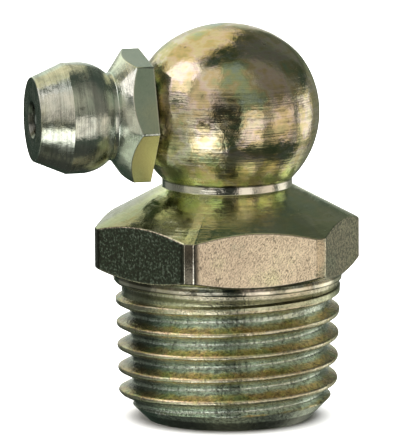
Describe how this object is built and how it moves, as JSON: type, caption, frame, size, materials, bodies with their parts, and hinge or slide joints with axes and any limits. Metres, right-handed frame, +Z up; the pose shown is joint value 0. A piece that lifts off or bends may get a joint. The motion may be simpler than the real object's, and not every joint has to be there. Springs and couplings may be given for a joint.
{
  "type": "grease nipple",
  "caption": "Right-angled grease nipple: hexagon body with a taper pipe thread and a turned ball, with a ball-check coupling head pressed into the ball's side.",
  "frame": {"origin": "centre of the small end's face, on the thread's axis", "axes": "+Z up the thread's axis towards the ball, -X along the axis of the coupling head"},
  "size_m": [0.0195, 0.014, 0.0232],
  "materials": {
    "body_plating": "turned steel, zinc plated with an iridescent yellow passivation",
    "head_plating": "hardened turned steel, zinc plated, greyer than the body",
    "ball_steel": "polished bearing steel",
    "spring_steel": "bright spring wire"
  },
  "bodies": {
    "fitting": {"angle_body": "body_plating", "nipple_head": "head_plating", "valve_spring": "spring_steel"},
    "check": {"check_ball": "ball_steel"}
  },
  "joints": [
    {"name": "check_slide", "type": "slide", "parent": "fitting", "child": "check", "axis": [1, 0, 0], "range_m": [0, 0.001], "stiffness_N_per_m": 400, "springref_m": -0.0015, "deforming": ["valve_spring"]}
  ]
}
